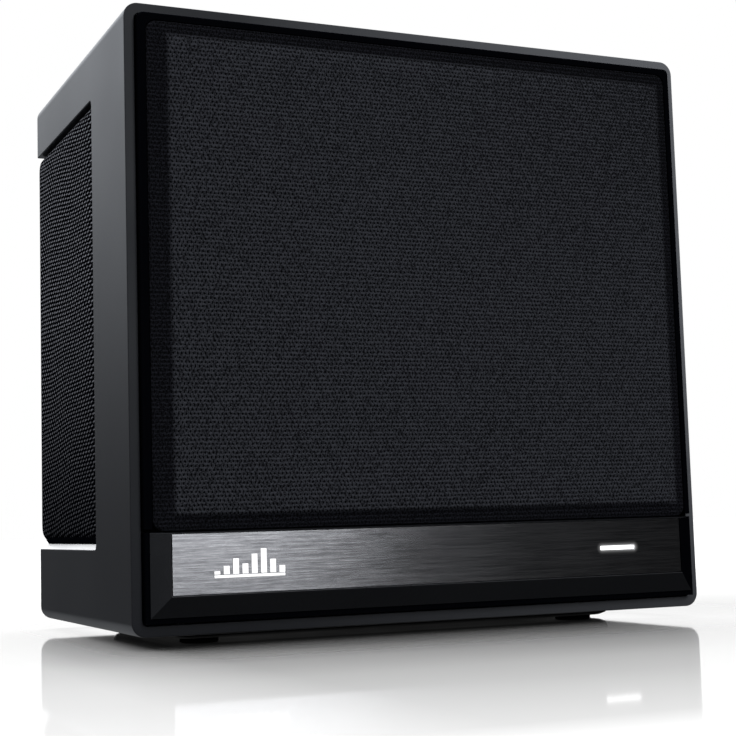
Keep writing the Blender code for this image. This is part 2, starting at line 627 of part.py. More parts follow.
def build_controls():
    inlet_rings = [
        rect("Y", 85.6, span(7.8, -45), span(4.1, 84), 3.8),
        rect("Y", 97.8, span(7.8, -45), span(4.1, 84), 3.8),
        rect("Y", 97.8, span(10.6, -45), span(7.0, 84), 3.8),
        rect("Y", 86.6, span(11.4, -45), span(7.4, 84), 2.0),
        rect("Y", 86.6, span(15.0, -45), span(11.0, 84), 3.0),
        rect("Y", 84.6, span(15.0, -45), span(11.0, 84), 3.0),
        rect("Y", 84.6, span(11.6, -45), span(7.6, 84), 2.0),
        rect("Y", 72.0, span(11.6, -45), span(7.6, 84), 2.0),
    ]
    inlet = put("mains_inlet", loft(inlet_rings), PLASTIC)
    for x in (-49.3, -40.7):
        join(inlet, cylinder("Y", (x, 84), 1.2, 80.0, 96.4, 12))

    housing_rings = [
        rect("Y", 77.0, span(8.6, -45), span(4.9, 116), 0.6),
        rect("Y", 87.0, span(8.6, -45), span(4.9, 116), 0.6),
        rect("Y", 87.0, span(12.0, -45), span(8.0, 116), 1.4),
        rect("Y", 84.6, span(12.0, -45), span(8.0, 116), 1.4),
        rect("Y", 84.6, span(10.3, -45), span(6.3, 116), 0.8),
        rect("Y", 74.0, span(10.3, -45), span(6.3, 116), 0.8),
    ]
    put("switch_housing", loft(housing_rings), PLASTIC)
    profile = ((-7.2, 6.6), (0.0, 5.2), (7.2, 6.6), (7.4, 5.6), (5.5, 0.5), (1.4, -3.0), (-1.4, -3.0), (-5.5, 0.5), (-7.4, 5.6))
    lean = math.radians(7)
    ends = []
    for z in (116 - 4.4, 116 + 4.4):
        turned_profile = [
            (x * math.cos(lean) - y * math.sin(lean), x * math.sin(lean) + y * math.cos(lean)) for x, y in profile
        ]
        ends.append([at("Z", z, -45 + x, 83.4 + y) for x, y in turned_profile])
    rocker = put("power_rocker", loft(ends), GLOSS)
    pivot("power_switch_axis", (-45, 83.4, 116), [rocker])

    board = put("control_board", box((28, 71.6, 132), (56, 73.2, 216)), BOARD)
    join(board, box((33.5, 73.0, 196.5), (50.5, 81.6, 213.5)))
    join(board, cylinder("Y", (42, 205), 3.0, 81.0, 95.6, 16))
    join(board, box((34, 73.0, 167.6), (50, 81.8, 176.4)))
    join(board, box((37, 73.0, 139), (47, 81.0, 149)))
    knob_profile = [
        (3.3, 85.2), (9.6, 85.2), (9.6, 87.0), (8.6, 87.4), (8.2, 97.2), (7.4, 98.0), (1.2, 98.0), (1.2, 96.4), (3.3, 96.4),
    ]
    knob = put("level_knob", turned("Y", (42, 205), knob_profile, True, 36), PLASTIC)
    notches = []
    for step in range(12):
        angle = math.radians(30 * step)
        x, z = 42 + 9.3 * math.cos(angle), 205 + 9.3 * math.sin(angle)
        notches.append(((x - 0.6, 88.4, z - 0.6), (x + 0.6, 99.0, z + 0.6)))
    cut(knob, boxes(notches))
    cut(knob, box((41.6, 97.4, 207.5), (42.4, 99.0, 212.0)))
    pivot("level_knob_axis", (42, 90, 205), [knob])

    tab = put("phase_switch", box((38.2, 82.3, 170.6), (41.2, 90.0, 173.4)), PLASTIC)
    pivot("phase_switch_axis", (39.7, 86, 172), [tab])

    cap = [(3.3, 82.6), (3.3, 87.6), (2.7, 88.3), (0.8, 88.3)]
    cap = put("pairing_button", turned("Y", (42, 144), [(0.8, 82.6)] + cap, False, 20), GLOSS)
    pivot("pairing_button_axis", (42, 86, 144), [cap])

    for word, x in (("left", 30), ("right", 52)):
        barrel = [
            (1.7, 97.5), (1.7, 80.0), (0.8, 78.0), (0.8, 70.0), (2.0, 70.0), (4.3, 80.0), (4.3, 84.6),
            (5.8, 84.6), (5.8, 86.6), (4.15, 87.0), (4.15, 96.9), (3.6, 97.5),
        ]
        put(f"line_in_{word}", turned("Y", (x, 88), barrel, True, 20), STEEL)


def build_base():
    plinth = [
        rect("Z", 1.3, span(116), span(58, BASE_Y), 6.0),
        rect("Z", 2.4, span(118.5), span(60, BASE_Y), 6.0),
        rect("Z", SHELL_BOTTOM - GAP, span(120), span(60, BASE_Y), 6.0),
    ]
    put("base_plinth", loft(plinth), PLASTIC)
    number = 0
    for x in (-104, 104):
        for y in (BASE_Y - 46, BASE_Y + 46):
            number += 1
            foot = [(9.0, 1.0), (9.5, 0.4), (9.0, 0.0), (2.0, 0.0)]
            put(f"foot_pad_{number}", turned("Z", (x, y), [(2.0, 1.0)] + foot, False, 24), RUBBER)


def wire(name, points, thickness, look):
    """A round lead along soft-cornered points."""
    curve = bpy.data.curves.new(name, "CURVE")
    curve.dimensions = "3D"
    curve.bevel_depth = thickness * MM
    curve.bevel_resolution = 2
    curve.use_fill_caps = True
    spline = curve.splines.new("POLY")
    spline.points.add(len(points) - 1)
    for place, point in zip(spline.points, points):
        place.co = (*[value * MM for value in point], 1.0)
    made = bpy.data.objects.new(name, curve)
    made.data.materials.append(material_of(look))
    PARTS.objects.link(made)
    return made


def soften(corners, reach=6.0, steps=4):
    """Replaces each inner corner of a path with a short arc of points."""
    path = [corners[0]]
    for before, corner, after in zip(corners, corners[1:], corners[2:]):
        to_before = [b - c for b, c in zip(before, corner)]
        to_after = [a - c for a, c in zip(after, corner)]
        length_before = math.dist(before, corner)
        length_after = math.dist(after, corner)
        near = min(reach, length_before / 2.2)
        far = min(reach, length_after / 2.2)
        start = [c + d * near / length_before for c, d in zip(corner, to_before)]
        end = [c + d * far / length_after for c, d in zip(corner, to_after)]
        for step in range(steps + 1):
            t = step / steps
            path.append([
                (1 - t) ** 2 * s + 2 * t * (1 - t) * c + t ** 2 * e for s, c, e in zip(start, corner, end)
            ])
    path.append(corners[-1])
    return path


def build_leads():
    for number, z in ((1, WOOFER_Z - 5), (2, WOOFER_Z + 5)):
        side = 1 if number == 2 else -1
        route = [
            (54.8, -38.5, z), (62, -38.5, z), (76, -20, z + side * 4), (76, 40, z + side * 4), (58, 50, z + side * 8),
            (58, 59.4, z + side * 8),
        ]
        wire(f"woofer_lead_{number}", soften(route), 1.0, RUBBER)
    floor = INSIDE_BOTTOM + GAP + CABINET_WALL + 2.0
    route = [
        (LIGHT_X - 10, -85.2, LIGHT_Z), (LIGHT_X - 10, -60, LIGHT_Z), (LIGHT_X - 10, -52, floor), (60, 20, floor), (50, 50, floor),
        (50, 50, 86), (50, 59.4, 86),
    ]
    wire("status_light_cable", soften(route), 1.4, RUBBER)


def build_screws():
    number = 0
    for x in (-80, 80):
        for z in (58, 256):
            number += 1
            head = [(1.2, 97.6), (1.2, 98.7), (2.6, 98.6), (3.4, 97.4), (3.4, 96.6), (0.9, 96.6)]
            put(f"amplifier_screw_{number}", turned("Y", (x, z), [(0.5, 97.6)] + head, False, 16), STEEL)


clear_scene()
PARTS = new_collection("parts", False)
CUTTERS = new_collection("cutters", True)
build_sleeve()
build_cabinet()
grille_pieces = build_front_grille()
pivot("front_grille_axis", (0, -90, 168), grille_pieces)
build_trim()
for place, side_word in ((-1, "left"), (1, "right")):
    moving_disc = build_side(place, side_word)
    pivot(f"radiator_axis_{side_word}", (place * 132, RADIATOR_Y, RADIATOR_Z), [moving_disc])
pivot("woofer_axis", (0, -52, WOOFER_Z), build_woofer())
build_amplifier()
build_controls()
build_base()
build_leads()
build_screws()
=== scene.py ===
"""The subwoofer's looks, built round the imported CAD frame.

Shapes are written in millimetres and turned into metres by MM. Lengths in materials and in the studio are in metres.
"""

import math

import bmesh
import bpy
from mathutils import Matrix, Vector


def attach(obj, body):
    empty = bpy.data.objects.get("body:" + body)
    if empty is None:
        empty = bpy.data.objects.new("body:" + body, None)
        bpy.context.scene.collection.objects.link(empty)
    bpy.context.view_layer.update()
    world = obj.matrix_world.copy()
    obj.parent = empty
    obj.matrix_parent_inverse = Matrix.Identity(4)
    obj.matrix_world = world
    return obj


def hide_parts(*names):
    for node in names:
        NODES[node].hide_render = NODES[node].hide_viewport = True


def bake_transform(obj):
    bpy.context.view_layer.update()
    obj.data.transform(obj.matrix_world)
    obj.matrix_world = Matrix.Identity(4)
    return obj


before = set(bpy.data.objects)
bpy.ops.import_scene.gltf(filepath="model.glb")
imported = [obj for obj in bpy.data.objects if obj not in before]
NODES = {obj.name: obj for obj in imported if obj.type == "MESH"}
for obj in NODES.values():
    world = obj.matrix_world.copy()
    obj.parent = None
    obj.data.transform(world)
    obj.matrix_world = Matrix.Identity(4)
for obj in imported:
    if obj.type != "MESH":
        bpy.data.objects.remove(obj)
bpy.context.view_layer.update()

MM = 0.001
ROOT = "enclosure"
SIDES = ((-1, "left"), (1, "right"))
SHELL_BOTTOM, SHELL_TOP = 5.5, 293.5
HALF_WIDTH, HALF_DEPTH, RIM, BACK = 150.0, 95.0, -89.5, 100.0
WALL, OUTER_RADIUS, INNER_RADIUS = 5.0, 6.8, 2.6
WINDOW_FRONT = RIM + 62.9
WINDOW_BOTTOM, WINDOW_TOP = SHELL_BOTTOM + 38.4, SHELL_BOTTOM + 258.6
FIELD_HALF, FIELD_BOTTOM, FIELD_TOP = 131.1, SHELL_BOTTOM + 53.4, SHELL_TOP - 15.4
FIELD_RIGHT = FIELD_HALF + 5.0
CLOTH_THICK = 0.6
CLOTH_HALF, CLOTH_HALF_HEIGHT, CLOTH_MIDDLE = 141.0, 116.4, 168.3
SILL_LIFT, SILL_INSIDE = 3.9, 144.0
PLATE_HALF, PLATE_BOTTOM, PLATE_TOP = 133.9, SHELL_BOTTOM + 18.2, SHELL_BOTTOM + 45.0
LIGHT_X, LIGHT_Z = 96.5, (PLATE_BOTTOM + PLATE_TOP) / 2
EMBLEM_X = -98.1
WOOFER_Z = 168.5
RADIATOR_Y, RADIATOR_Z, RADIATOR_STRAIGHT, RADIATOR_CORNER = 32.5, 154.0, 44.0, 9.0
WOOFER_ROLL, RADIATOR_ROLL = 3.9, 6.0
ROCKER_X, ROCKER_Y, ROCKER_Z, ROCKER_LEAN = -45.0, 83.4, 116.0, 7.0
KNOB_X, KNOB_Z = 42.0, 205.0

# Colours are linear. The knits' pitches are in metres.
KNIT_HOLE, KNIT_LOOP = (0.0006, 0.0008, 0.0016), (0.0440, 0.0469, 0.0570)
BORDER_HOLE, BORDER_LOOP = (0.0006, 0.0007, 0.0014), (0.0115, 0.0123, 0.0170)
SIDE_HOLE, SIDE_LOOP = (0.0003, 0.0004, 0.0010), (0.200, 0.208, 0.236)
PAINT_DARK, PAINT_LIGHT = (0.031, 0.0325, 0.037), (0.047, 0.049, 0.055)
PLATE_DARK, PLATE_LIGHT = (0.105, 0.108, 0.118), (0.285, 0.290, 0.308)
LOOP_PITCH, ROW_PITCH = 0.00188, 0.0039
RIB_PITCH, BEAD_PITCH = 0.0020, 0.0056

# Where the camera stands in metres, its yaw, pitch and roll in degrees, and its focal length.
CAMERA_PLACE, CAMERA_TURN, CAMERA_LENS = (-0.32787, -0.75068, 0.05363), (24.041, 5.746, -1.681), 74.609
# Strength of the sky near the horizon, overhead, in front of the object and below the horizon.
SKY_LOW, SKY_HIGH, SKY_FRONT, BELOW = 0.035, 3.1, 0.26, 0.26
# The floor's mirror share at distances in metres from the object's outline.
SHINE_START, SHINE_END = -0.06, 0.34
SHINE = (
    (-0.03, 0.965), (0.0, 0.85), (0.03, 0.76), (0.083, 0.59), (0.151, 0.47), (0.204, 0.43), (0.247, 0.36), (0.30, 0.28),
)


# ---------------------------------------------------------------- materials

class Graph:
    """A node tree, with short names for making and wiring its nodes."""

    def __init__(self, tree):
        self.tree = tree

    def plug(self, socket, value):
        if isinstance(value, bpy.types.NodeSocket):
            self.tree.links.new(value, socket)
        elif socket.type == "RGBA" and len(value) == 3:
            socket.default_value = (*value, 1.0)
        else:
            socket.default_value = value

    def node(self, kind, inputs=None, **settings):
        made = self.tree.nodes.new(kind)
        for key, value in settings.items():
            setattr(made, key, value)
        for key, value in (inputs or {}).items():
            self.plug(made.inputs[key], value)
        return made

    def math(self, operation, a, b=0.0, clamp=False):
        return self.node("ShaderNodeMath", {0: a, 1: b}, operation=operation, use_clamp=clamp).outputs[0]

    def fold(self, operation, *values):
        """One operation over several values, from left to right."""
        total = values[0]
        for value in values[1:]:
            total = self.math(operation, total, value)
        return total

    def times(self, *values):
        return self.fold("MULTIPLY", *values)

    def plus(self, *values):
        return self.fold("ADD", *values)

    def minus(self, a, b):
        return self.math("SUBTRACT", a, b)

    def gap(self, a, b=0.0):
        return self.math("ABSOLUTE", self.minus(a, b))

    def length(self, a, b):
        return self.math("SQRT", self.plus(self.times(a, a), self.times(b, b)))

    def wave(self, value, pitch):
        return self.math("SINE", self.times(value, 2 * math.pi / pitch))

    def vectors(self, operation, a, b):
        return self.node("ShaderNodeVectorMath", {0: a, 1: b}, operation=operation).outputs[0]

    def split(self, vector):
        return self.node("ShaderNodeSeparateXYZ", {0: vector}).outputs

    def ramp(self, value, low, high, start=0.0, end=1.0, **settings):
        inputs = {"Value": value, "From Min": start, "From Max": end, "To Min": low, "To Max": high}
        return self.node("ShaderNodeMapRange", inputs, **settings).outputs[0]

    def blend(self, factor, first, second):
        return self.node("ShaderNodeMix", {"Factor": factor, 6: first, 7: second}, data_type="RGBA").outputs[2]


class Look(Graph):
    """A material whose textures follow the piece's own coordinates."""

    def __init__(self, name, **sockets):
        self.material = bpy.data.materials.new(name)
        self.material.use_nodes = True
        super().__init__(self.material.node_tree)
        self.shader = self.tree.nodes["Principled BSDF"]
        for key, value in sockets.items():
            self.set(key.replace("_", " "), value)
        self.place = self.node("ShaderNodeTexCoord").outputs["Object"]

    def set(self, socket, value):
        self.plug(self.shader.inputs[socket], value)

    def stretch(self, scale):
        return self.node("ShaderNodeMapping", {"Vector": self.place, "Scale": scale}).outputs[0]

    def noise(self, scale, detail=3.0, vector=None, roughness=0.55, output="Fac"):
        inputs = {"Vector": vector or self.place, "Scale": scale, "Detail": detail, "Roughness": roughness}
        return self.node("ShaderNodeTexNoise", inputs).outputs[output]

    def bump(self, height, distance, strength=1.0):
        inputs = {"Height": height, "Distance": distance, "Strength": strength}
        self.set("Normal", self.node("ShaderNodeBump", inputs).outputs[0])


def shades(colour, spread):
    """The darker and the lighter neighbour of a colour."""
    return [tuple(min(1.0, c * share) for c in colour) for share in (1 - spread, 1 + spread)]


def speckled(name, colour, roughness, metallic=0.0, grain=900.0, depth=0.00004, spread=0.25, **more):
    """A moulded or painted surface: fine grain in colour and relief, and gloss that changes softly over it."""
    look = Look(name, Metallic=metallic, **more)
    fine = look.noise(grain, 4.0)
    broad = look.noise(18.0, 3.0)
    look.set("Base Color", look.blend(look.ramp(fine, 0.5, 1.2), *shades(colour, spread)))
    look.set("Roughness", look.ramp(broad, roughness * 0.85, roughness * 1.18, 0.3, 0.7))
    look.bump(fine, depth)
    return look.material


def grained(name, colour, roughness, along, anisotropic, contrast):
    """Brushed metal with its streaks along one axis."""
    look = Look(name, Metallic=1.0, Anisotropic=anisotropic)
    scale = [2600.0, 2600.0, 2600.0]
    scale[along] = 9.0
    streaks = look.noise(1.0, 4.0, look.stretch(scale))
    look.set("Base Color", look.blend(look.ramp(streaks, 0, 1, 0.3, 0.7), *shades(colour, contrast)))
    look.set("Roughness", look.ramp(streaks, roughness * 0.8, roughness * 1.2, 0.3, 0.7))
    look.bump(streaks, 0.00002, 0.5)
    return look.material


def sleeve_paint():
    look = Look("sleeve_satin", Metallic=0.55, Specular_Tint=(0.88, 0.93, 1.0, 1.0))
    fine = look.noise(2200.0, 3.0)
    look.set("Base Color", look.blend(fine, PAINT_DARK, PAINT_LIGHT))
    look.set("Roughness", look.ramp(look.noise(9.0, 2.0), 0.30, 0.37, 0.3, 0.7))
    look.bump(fine, 0.000012)
    return look.material


def underside():
    """The sleeve's belly: bare paint along both ends, with painted shade, near black, in the middle where the plinth
    sits.
    """
    look = Look("sleeve_underside", Metallic=0.4, Roughness=0.45, Specular_IOR_Level=0.1)
    grain = look.noise(900.0, 3.0)
    end = look.ramp(look.gap(look.split(look.place)[0]), 0.0, 1.0, 0.112, 0.128)
    bare = look.blend(grain, (0.055, 0.057, 0.061), (0.085, 0.088, 0.093))
    # Painted shade: the belly goes near black over the plinth, where shade falls under the body.
    black = look.blend(grain, (0.007, 0.0072, 0.0078), (0.013, 0.0133, 0.0142))
    look.set("Base Color", look.blend(end, black, bare))
    look.bump(grain, 0.00002, 0.5)
    return look.material


def sleeve_rim():
    """The cut edge of the sleeve, with painted light and shade: dark at the left and low down, paler towards the top
    right.
    """
    look = Look("sleeve_rim", Specular_IOR_Level=0.10, Specular_Tint=(0.90, 0.95, 1.0, 1.0))
    fine = look.noise(1800.0, 3.0)
    x, _, z = look.split(look.place)
    # Painted light and shade: a shaded dark and a lit pale copy of the rim's colour, blended by height and by distance
    # to the right.
    painted_light_share = look.times(look.ramp(x, 0.0, 1.0, -0.10, 0.13), look.ramp(z, 0.3, 1.0, 0.0, 0.14))
    dark = look.blend(fine, (0.010, 0.0108, 0.0135), (0.016, 0.017, 0.021))
    pale = look.blend(fine, (0.140, 0.147, 0.160), (0.170, 0.178, 0.195))
    look.set("Base Color", look.blend(painted_light_share, dark, pale))
    look.set("Roughness", look.ramp(look.noise(14.0, 2.0), 0.33, 0.40, 0.3, 0.7))
    look.bump(fine, 0.000012)
    return look.material


def front_knit():
    """Fine knit in staggered rows of small loops, darker on the border round the raised field."""
    look = Look("front_knit", Roughness=0.95, Specular_IOR_Level=0.08)
    wobble = look.vectors("MULTIPLY", look.noise(330.0, 2.0, output="Color"), (0.0013, 0.0, 0.0007))
    x, _, z = look.split(look.vectors("ADD", look.place, wobble))
    across, up = look.wave(x, LOOP_PITCH), look.wave(z, ROW_PITCH)
    lattice = look.times(across, up, up, up)
    loops = look.ramp(lattice, 1.0, 0.0, -0.02, 0.45)
    arcs = look.ramp(look.gap(lattice, 0.06), 1.0, 0.0, 0.0, 0.28)
    yarn = look.noise(1500.0, 2.0)
    thread = look.times(loops, look.ramp(yarn, 0.25, 0.80, 0.36, 0.66))
    glints = look.times(arcs, look.ramp(yarn, 0.0, 2.6, 0.46, 0.66))
    patch = look.ramp(look.noise(60.0, 3.0), 0.93, 1.06, 0.3, 0.7)

    x, _, z = look.split(look.place)
    left, right = look.minus(look.times(x, -1.0), FIELD_HALF * MM), look.minus(x, FIELD_RIGHT * MM)
    below, above = look.minus(FIELD_BOTTOM * MM, z), look.minus(z, FIELD_TOP * MM)
    border = look.ramp(look.fold("MAXIMUM", left, right, below, above), 0.0, 1.0, -0.0012, 0.0010)
    # Painted shade: the knit darkens towards the top right.
    corner = look.times(look.ramp(x, 0.0, 0.38, 0.0, 0.14), look.ramp(z, 0.0, 1.0, 0.15, 0.27))
    lit = look.times(look.plus(thread, glints), patch, look.minus(1.0, corner))
    field = look.blend(lit, KNIT_HOLE, KNIT_LOOP)
    rim = look.blend(look.times(lit, lit), BORDER_HOLE, BORDER_LOOP)
    look.set("Base Color", look.blend(border, field, rim))
    look.bump(loops, 0.0004, 0.7)
    return look.material


def side_knit():
    """Ribbed cloth: beaded rows that run front to back and wander a little, with painted light brightening it towards
    the top and painted shade, near black, along its lower edge at the sill.
    """
    look = Look("side_knit", Roughness=1.0, Specular_IOR_Level=0.0)
    _, y, z = look.split(look.place)
    tilt = look.times(look.ramp(z, 0.11, -0.13, 0.05, 0.25), y)
    height = look.plus(z, tilt, look.times(look.noise(11.0, 1.0), 0.006))
    turns = look.times(height, 2 * math.pi / RIB_PITCH)
    along = look.times(y, 2 * math.pi / BEAD_PITCH)
    rows = look.math("SINE", turns)
    beads = look.math("SINE", look.plus(along, look.times(turns, 0.5)))
    fluff = look.ramp(look.noise(900.0, 3.0), -0.7, 0.7, 0.25, 0.75)
    pile = look.plus(look.times(rows, 0.85), look.times(beads, 0.85), fluff)
    lit = look.math("POWER", look.ramp(pile, 0.0, 1.0, -0.2, 1.3), 1.9)
    # Painted light: the knit brightens towards the top, as light falls from above.
    painted_top_light = look.ramp(z, 0.26, 1.55, 0.06, 0.27)
    # Painted shade: near black along the cloth's lower edge, where it meets the sill.
    painted_sill_shade = look.ramp(z, 0.0, 1.0, (WINDOW_BOTTOM + 4.4) * MM, (WINDOW_BOTTOM + 8.0) * MM)
    lit = look.times(lit, painted_top_light, painted_sill_shade)
    look.set("Base Color", look.blend(lit, SIDE_HOLE, SIDE_LOOP))
    look.bump(lit, 0.0007, 0.9)
    return look.material


def plate_metal():
    """Trim plate: aluminium brushed along its length, with a soft bloom of light round the lit slot."""
    look = Look("plate_brushed", Metallic=1.0, Anisotropic=0.75, Anisotropic_Rotation=0.25)
    hair = look.noise(1.0, 5.0, look.stretch((55.0, 1900.0, 1900.0)), 0.65)
    fine = look.noise(1.0, 3.0, look.stretch((260.0, 3200.0, 3200.0)))
    mixed = look.plus(look.times(hair, 0.7), look.times(fine, 0.3))
    look.set("Base Color", look.blend(look.ramp(mixed, 0, 1, 0.36, 0.64), PLATE_DARK, PLATE_LIGHT))
    look.set("Roughness", look.ramp(look.noise(30.0, 2.0), 0.235, 0.25, 0.3, 0.7))
    look.bump(mixed, 0.0000008, 0.5)
    x, _, z = look.split(look.place)
    across = look.math("MAXIMUM", look.minus(look.gap(x, LIGHT_X * MM), 0.0092), 0.0)
    reach = look.length(across, look.minus(z, LIGHT_Z * MM))
    glow = look.math("POWER", look.ramp(reach, 1.0, 0.0, 0.0010, 0.0036), 2.5, True)
    look.set("Emission Color", (1.0, 1.0, 1.0))
    look.set("Emission Strength", look.times(glow, 0.22))
    return look.material


def lamp():
    look = Look("lamp_lens", Roughness=0.35, Specular_IOR_Level=0.3)
    soft = look.noise(160.0, 2.0)
    look.set("Base Color", look.blend(soft, (0.30, 0.31, 0.33), (0.38, 0.39, 0.41)))
    height = look.gap(look.split(look.place)[2], LIGHT_Z * MM)
    look.set("Emission Color", (1.0, 1.0, 1.0))
    glow = look.times(look.ramp(soft, 1.3, 1.7, 0.3, 0.7), look.ramp(height, 1.0, 0.05, 0.0009, 0.0012))
    look.set("Emission Strength", glow)
    return look.material


def fibreboard():
    look = Look("fibreboard", Roughness=0.85)
    fibre = look.noise(420.0, 5.0)
    look.set("Base Color", look.blend(look.ramp(fibre, 0, 1, 0.3, 0.7), (0.17, 0.115, 0.065), (0.33, 0.235, 0.14)))
    look.bump(fibre, 0.0001, 0.5)
    return look.material


def circuit():
    look = Look("circuit_board", Roughness=0.4)
    inputs = {"Vector": look.place, "Scale": 180.0, "Randomness": 1.0}
    tracks = look.node("ShaderNodeTexVoronoi", inputs, feature="DISTANCE_TO_EDGE").outputs["Distance"]
    look.set("Base Color", look.blend(look.ramp(tracks, 1, 0, 0.02, 0.06), (0.008, 0.075, 0.034), (0.03, 0.20, 0.09)))
    look.bump(tracks, 0.0001, 0.4)
    return look.material


def printed(name, colour, roughness, **more):
    return speckled(name, colour, roughness, grain=1500.0, depth=0.00001, spread=0.08, **more)


LOOKS = {
    "sleeve": sleeve_paint(),
    "rim": sleeve_rim(),
    "underside": underside(),
    # Painted highlight: the sill is near white, standing in for light caught along the window's lower edge.
    "sill": speckled("sill_painted_highlight", (0.78, 0.79, 0.81), 0.35, 0.0, 1400.0, 0.000008, 0.06),
    "front_knit": front_knit(),
    "side_knit": side_knit(),
    "plate": plate_metal(),
    "lamp": lamp(),
    "gloss": speckled("gloss_black", (0.012, 0.012, 0.013), 0.24, 0.0, 500.0, 0.000006, 0.2),
    "bevel": speckled("bevel_anodised", (0.034, 0.036, 0.041), 0.30, 0.7, 900.0, 0.000006, 0.3),
    "painted": speckled("painted_board", (0.010, 0.0103, 0.011), 0.8, 0.0, 420.0, 0.00006, 0.4, Specular_IOR_Level=0.1),
    "band": speckled("grille_band", (0.0012, 0.0014, 0.0022), 0.6, 0.0, 900.0, 0.00001, 0.3, Specular_IOR_Level=0.0),
    "plastic": speckled("moulded_black", (0.012, 0.012, 0.013), 0.5),
    "powder": speckled("powder_coat", (0.022, 0.022, 0.024), 0.55, 0.3, 1300.0, 0.00008),
    # Painted glow: the white mark emits a little light so that its print reads bright white.
    "mark": printed("white_mark_painted_glow", (0.80, 0.80, 0.81), 0.45, Emission_Color=(1.0, 1.0, 1.0), Emission_Strength=0.75),
    "white": printed("white_print", (0.78, 0.78, 0.79), 0.38),
    "rubber": speckled("soft_rubber", (0.014, 0.014, 0.014), 0.72, 0.0, 700.0),
    "paper": speckled("pressed_paper", (0.030, 0.030, 0.031), 0.85, 0.0, 350.0, 0.00015, 0.45),
    "ferrite": speckled("ferrite", (0.045, 0.045, 0.05), 0.6, 0.1, 800.0, 0.0001),
    "steel": grained("zinc_steel", (0.55, 0.55, 0.54), 0.34, 2, 0.3, 0.2),
    "aluminium": grained("extruded_aluminium", (0.62, 0.62, 0.63), 0.36, 2, 0.4, 0.2),
    "copper": grained("copper_winding", (0.72, 0.36, 0.18), 0.35, 0, 0.4, 0.35),
    "stove": speckled("stove_enamel", (0.025, 0.025, 0.027), 0.42, 0.3, 1500.0, 0.00004),
    "fibre": fibreboard(),
    "board": circuit(),
    "resin": speckled("resin_cloth", (0.42, 0.28, 0.11), 0.9, 0.0, 1400.0, 0.0002, 0.5),
    "red": speckled("red_insulator", (0.42, 0.02, 0.02), 0.4, 0.0, 1200.0, 0.00001, 0.15),
    "gold": grained("gold_contact", (0.83, 0.61, 0.28), 0.3, 1, 0.3, 0.15),
}


# ---------------------------------------------------------------- shapes

def at(axis, level, a, b):
    """A point in metres: level is along the axis, a and b along the other two in the order X, Y, Z."""
    if axis == "X":
        return (level * MM, a * MM, b * MM)
    if axis == "Y":
        return (a * MM, level * MM, b * MM)
    return (a * MM, b * MM, level * MM)


def span(half, middle=0.0):
    return (middle - half, middle + half)


def grow(limits, amount):
    return (limits[0] - amount, limits[1] + amount)


def rect(axis, level, a, b, radius=0.0, steps=8):
    """A rectangle's ring of points across an axis, with rounded corners where a radius is given."""
    if radius <= 0:
        corners = ((a[0], b[0]), (a[1], b[0]), (a[1], b[1]), (a[0], b[1]))
        return [at(axis, level, x, y) for x, y in corners]
    centres = (
        (a[1] - radius, b[1] - radius, 0),
        (a[0] + radius, b[1] - radius, 90),
        (a[0] + radius, b[0] + radius, 180),
        (a[1] - radius, b[0] + radius, 270),
    )
    ring = []
    for x, y, start in centres:
        for step in range(steps + 1):
            angle = math.radians(start + 90 * step / steps)
            ring.append(at(axis, level, x + radius * math.cos(angle), y + radius * math.sin(angle)))
    return ring


def circle(axis, level, centre, radius, count):
    turn = [2 * math.pi * step / count for step in range(count)]
    return [at(axis, level, centre[0] + radius * math.cos(t), centre[1] + radius * math.sin(t)) for t in turn]


def loft(rings, closed=False):
    """Skins rings of equal length: capped at both ends, or closed with the last ring joined to the first."""
    bm = bmesh.new()
    loops = [[bm.verts.new(point) for point in ring] for ring in rings]
    pairs = list(zip(loops, loops[1:]))
    if closed:
        pairs.append((loops[-1], loops[0]))
    count = len(loops[0])
    for near, far in pairs:
        for i in range(count):
            j = (i + 1) % count
            bm.faces.new((near[i], near[j], far[j], far[i]))
    if not closed:
        for loop in (loops[0], loops[-1]):
            bm.faces.new(loop)
    bmesh.ops.recalc_face_normals(bm, faces=bm.faces)
    return bm


def box(low, high):
    return loft([rect("Z", z, (low[0], high[0]), (low[1], high[1])) for z in (low[2], high[2])])


def turned(axis, centre, profile, closed=False, count=64):
    """A profile of (radius, level) turned about an axis."""
    return loft([circle(axis, level, centre, radius, count) for radius, level in profile], closed)


def merge(parts):
    """Several shapes as one, without joining them."""
    whole = bmesh.new()
    for part in parts:
        mesh = bpy.data.meshes.new("part")
        part.to_mesh(mesh)
        whole.from_mesh(mesh)
        bpy.data.meshes.remove(mesh)
        part.free()
    return whole


def raw(name, bm, look):
    """An object with a shape and a look, on no body yet."""
    mesh = bpy.data.meshes.new(name)
    bm.to_mesh(mesh)
    bm.free()
    made = bpy.data.objects.new(name, mesh)
    mesh.materials.append(LOOKS[look])
    show(made)
    return made


def show(obj):
    bpy.context.scene.collection.objects.link(obj)


def carve(obj, bm):
    """Cuts one shape out of another, and keeps the result as the object's mesh."""
    tool = raw("tool", bm, "plastic")
    modifier = obj.modifiers.new("carve", "BOOLEAN")
    modifier.operation, modifier.solver, modifier.object = "DIFFERENCE", "EXACT", tool
    graph = bpy.context.evaluated_depsgraph_get()
    mesh = bpy.data.meshes.new_from_object(obj.evaluated_get(graph))
    obj.modifiers.clear()
    obj.data = mesh
    bpy.data.objects.remove(tool, do_unlink=True)


def smooth(obj):
    obj.data.polygons.foreach_set("use_smooth", [True] * len(obj.data.polygons))


def round_edges(obj, width, segments, angle):
    bevel = obj.modifiers.new("edges", "BEVEL")
    bevel.width, bevel.segments = width * MM, segments
    bevel.limit_method, bevel.angle_limit = "ANGLE", math.radians(angle)


def soften(obj, width=0.3, segments=3, angle=38):
    """Rounds the sharp edges and shades the rest smooth."""
    round_edges(obj, width, segments, angle)
    smooth(obj)
    obj.modifiers.new("shade", "WEIGHTED_NORMAL").keep_sharp = True


